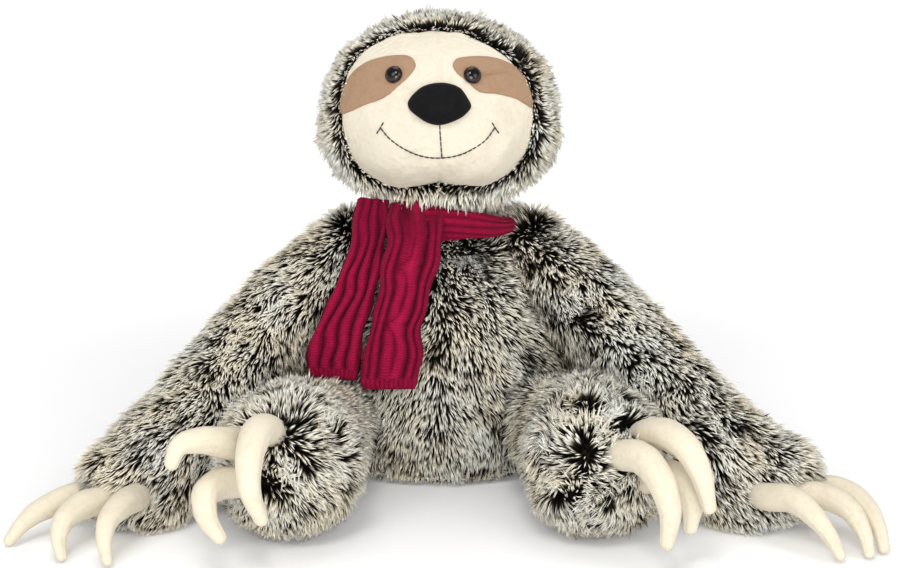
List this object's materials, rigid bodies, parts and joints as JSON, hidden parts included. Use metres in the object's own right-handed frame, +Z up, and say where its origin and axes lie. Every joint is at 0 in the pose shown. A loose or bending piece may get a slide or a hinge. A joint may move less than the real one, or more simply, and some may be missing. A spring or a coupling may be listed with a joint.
{
  "type": "plush sloth",
  "caption": "Seated plush sloth with a pear-shaped furry body, long arms and ball feet with curved felt claws, a cream face with tan eye patches, and a knitted scarf with hanging tails.",
  "frame": {"origin": "on the flat underside of the seat, below the neck, at floor level", "axes": "+Z up, -Y the way the face looks, +X towards the right hand of somebody who looks at the face; nodes ending in _l lie on the -X side"},
  "size_m": [0.5572, 0.3346, 0.3175],
  "materials": {
    "fur_grey": "long pile plush fur, dark roots with pale cream tips",
    "stuffing": "white polyester fibre filling",
    "pellet_bag": "woven cotton bag filled with plastic pellets",
    "face_plush": "cream short pile plush",
    "patch_plush": "tan short pile plush",
    "eye_plastic": "glossy, dark brown iris and black pupil",
    "washer_plastic": "plain white plastic locking washer",
    "nose_velour": "black velour",
    "thread": "dark brown embroidery thread, backstitched",
    "claw_felt": "smooth cream felt",
    "scarf_knit": "crimson cable knit"
  },
  "bodies": {
    "torso": {"torso_skin": "fur_grey", "torso_stuffing": "stuffing", "pellet_bag": "pellet_bag", "scarf_loop": "scarf_knit"},
    "neck": {"neck_stuffing": "stuffing"},
    "head": {"head_skin": "fur_grey", "head_stuffing": "stuffing", "face_panel": "face_plush", "eye_patch_l": "patch_plush", "eye_patch_r": "patch_plush", "eye_l": "eye_plastic", "eye_r": "eye_plastic", "eye_washer_l": "washer_plastic", "eye_washer_r": "washer_plastic", "nose": "nose_velour", "mouth_thread": "thread"},
    "arm_l": {"arm_l_skin": "fur_grey", "arm_l_stuffing": "stuffing"},
    "arm_r": {"arm_r_skin": "fur_grey", "arm_r_stuffing": "stuffing"},
    "leg_l": {"leg_l_skin": "fur_grey", "leg_l_stuffing": "stuffing"},
    "leg_r": {"leg_r_skin": "fur_grey", "leg_r_stuffing": "stuffing"},
    "scarf_front": {"scarf_tail_front": "scarf_knit"},
    "scarf_rear": {"scarf_tail_rear": "scarf_knit"},
    "claw_hand_l_1": {"claw_hand_l_1": "claw_felt"},
    "claw_hand_l_2": {"claw_hand_l_2": "claw_felt"},
    "claw_hand_l_3": {"claw_hand_l_3": "claw_felt"},
    "claw_hand_r_1": {"claw_hand_r_1": "claw_felt"},
    "claw_hand_r_2": {"claw_hand_r_2": "claw_felt"},
    "claw_hand_r_3": {"claw_hand_r_3": "claw_felt"},
    "claw_foot_l_1": {"claw_foot_l_1": "claw_felt"},
    "claw_foot_l_2": {"claw_foot_l_2": "claw_felt"},
    "claw_foot_l_3": {"claw_foot_l_3": "claw_felt"},
    "claw_foot_r_1": {"claw_foot_r_1": "claw_felt"},
    "claw_foot_r_2": {"claw_foot_r_2": "claw_felt"},
    "claw_foot_r_3": {"claw_foot_r_3": "claw_felt"}
  },
  "joints": [
    {"name": "head_turn", "type": "hinge", "parent": "torso", "child": "neck", "pos_m": [0, 0, 0.185], "axis": [0, 0, 1], "range_deg": [-40, 40], "stiffness_Nm_per_rad": 0.25},
    {"name": "head_nod", "type": "hinge", "parent": "neck", "child": "head", "pos_m": [0, 0, 0.2], "axis": [1, 0, 0], "range_deg": [-12, 3], "stiffness_Nm_per_rad": 0.6},
    {"name": "arm_raise_l", "type": "hinge", "parent": "torso", "child": "arm_l", "pos_m": [-0.062, 0, 0.15], "axis": [-0.6, 0.8, 0], "range_deg": [0, 60]},
    {"name": "arm_raise_r", "type": "hinge", "parent": "torso", "child": "arm_r", "pos_m": [0.062, 0, 0.15], "axis": [-0.6, -0.8, 0], "range_deg": [0, 60]},
    {"name": "leg_swing_l", "type": "hinge", "parent": "torso", "child": "leg_l", "pos_m": [-0.06, -0.058, 0.044], "axis": [0, 0, 1], "range_deg": [0, 18]},
    {"name": "leg_swing_r", "type": "hinge", "parent": "torso", "child": "leg_r", "pos_m": [0.06, -0.058, 0.044], "axis": [0, 0, -1], "range_deg": [0, 18]},
    {"name": "scarf_front_swing", "type": "hinge", "parent": "torso", "child": "scarf_front", "pos_m": [-0.016, -0.065, 0.196], "axis": [-1, 0, 0], "range_deg": [0, 50]},
    {"name": "scarf_rear_swing", "type": "hinge", "parent": "torso", "child": "scarf_rear", "pos_m": [-0.045, -0.053, 0.193], "axis": [-0.9781, 0.2079, 0], "range_deg": [0, 30]},
    {"name": "claw_flex_hand_l_1", "type": "hinge", "parent": "arm_l", "child": "claw_hand_l_1", "pos_m": [-0.229, -0.147, 0.022], "axis": [-0.6718, 0.7407, 0], "range_deg": [0, 12], "stiffness_Nm_per_rad": 0.02},
    {"name": "claw_flex_hand_l_2", "type": "hinge", "parent": "arm_l", "child": "claw_hand_l_2", "pos_m": [-0.215, -0.163, 0.024], "axis": [-0.9335, 0.3585, 0], "range_deg": [0, 12], "stiffness_Nm_per_rad": 0.02},
    {"name": "claw_flex_hand_l_3", "type": "hinge", "parent": "arm_l", "child": "claw_hand_l_3", "pos_m": [-0.194, -0.161, 0.025], "axis": [-0.9856, 0.1692, 0], "range_deg": [0, 12], "stiffness_Nm_per_rad": 0.02},
    {"name": "claw_flex_hand_r_1", "type": "hinge", "parent": "arm_r", "child": "claw_hand_r_1", "pos_m": [0.243, -0.142, 0.023], "axis": [-0.8516, -0.5242, 0], "range_deg": [0, 12], "stiffness_Nm_per_rad": 0.02},
    {"name": "claw_flex_hand_r_2", "type": "hinge", "parent": "arm_r", "child": "claw_hand_r_2", "pos_m": [0.229, -0.158, 0.024], "axis": [-0.7885, -0.615, 0], "range_deg": [0, 12], "stiffness_Nm_per_rad": 0.02},
    {"name": "claw_flex_hand_r_3", "type": "hinge", "parent": "arm_r", "child": "claw_hand_r_3", "pos_m": [0.208, -0.161, 0.025], "axis": [-0.7853, -0.6192, 0], "range_deg": [0, 12], "stiffness_Nm_per_rad": 0.02},
    {"name": "claw_flex_foot_l_1", "type": "hinge", "parent": "leg_l", "child": "claw_foot_l_1", "pos_m": [-0.123, -0.181, 0.066], "axis": [0.6386, -0.5605, -0.5273], "range_deg": [-5, 5], "stiffness_Nm_per_rad": 0.02},
    {"name": "claw_flex_foot_l_2", "type": "hinge", "parent": "leg_l", "child": "claw_foot_l_2", "pos_m": [-0.121, -0.189, 0.045], "axis": [0.73, -0.4092, 0.5474], "range_deg": [-5, 5], "stiffness_Nm_per_rad": 0.02},
    {"name": "claw_flex_foot_l_3", "type": "hinge", "parent": "leg_l", "child": "claw_foot_l_3", "pos_m": [-0.104, -0.184, 0.076], "axis": [0.9459, -0.2211, 0.2376], "range_deg": [-5, 5], "stiffness_Nm_per_rad": 0.02},
    {"name": "claw_flex_foot_r_1", "type": "hinge", "parent": "leg_r", "child": "claw_foot_r_1", "pos_m": [0.129, -0.176, 0.071], "axis": [0.8548, 0.4999, 0.1394], "range_deg": [-5, 5], "stiffness_Nm_per_rad": 0.02},
    {"name": "claw_flex_foot_r_2", "type": "hinge", "parent": "leg_r", "child": "claw_foot_r_2", "pos_m": [0.128, -0.184, 0.0455], "axis": [0.7167, 0.6645, -0.2114], "range_deg": [-5, 5], "stiffness_Nm_per_rad": 0.02},
    {"name": "claw_flex_foot_r_3", "type": "hinge", "parent": "leg_r", "child": "claw_foot_r_3", "pos_m": [0.113, -0.191, 0.063], "axis": [0.8621, 0.5065, -0.0114], "range_deg": [-5, 5], "stiffness_Nm_per_rad": 0.02}
  ]
}
